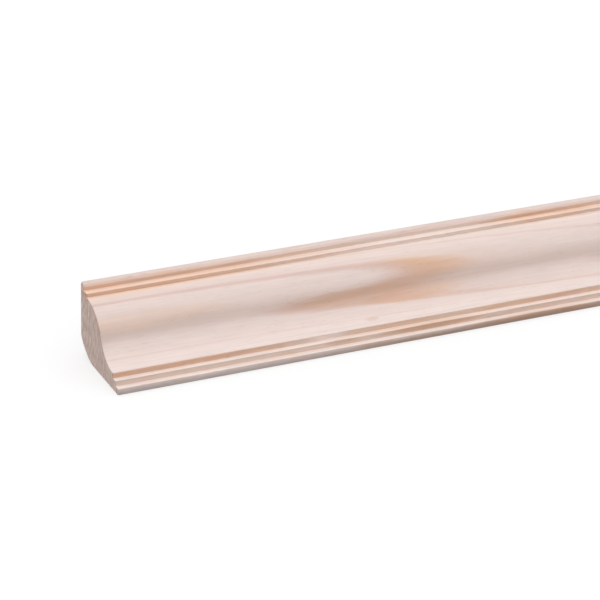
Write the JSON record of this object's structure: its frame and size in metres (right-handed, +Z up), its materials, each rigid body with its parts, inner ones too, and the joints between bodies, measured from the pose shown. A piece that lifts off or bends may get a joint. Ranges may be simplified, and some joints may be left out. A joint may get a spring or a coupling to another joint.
{
  "type": "cornice moulding",
  "caption": "Length of raw softwood cornice moulding with a bead, an ogee and two steps, for trimming the corner between a wall and a ceiling.",
  "frame": {"origin": "at mid-length and mid-depth of the moulding, on the floor under its base face", "axes": "+X along the moulding's length, +Y out of the wall face at the back, +Z up from the base face to the bead"},
  "size_m": [2.4, 0.05, 0.04],
  "materials": {
    "softwood": "planed and moulded, raw, unfinished pine"
  },
  "bodies": {
    "root": {"cornice_moulding": "softwood"}
  },
  "joints": []
}
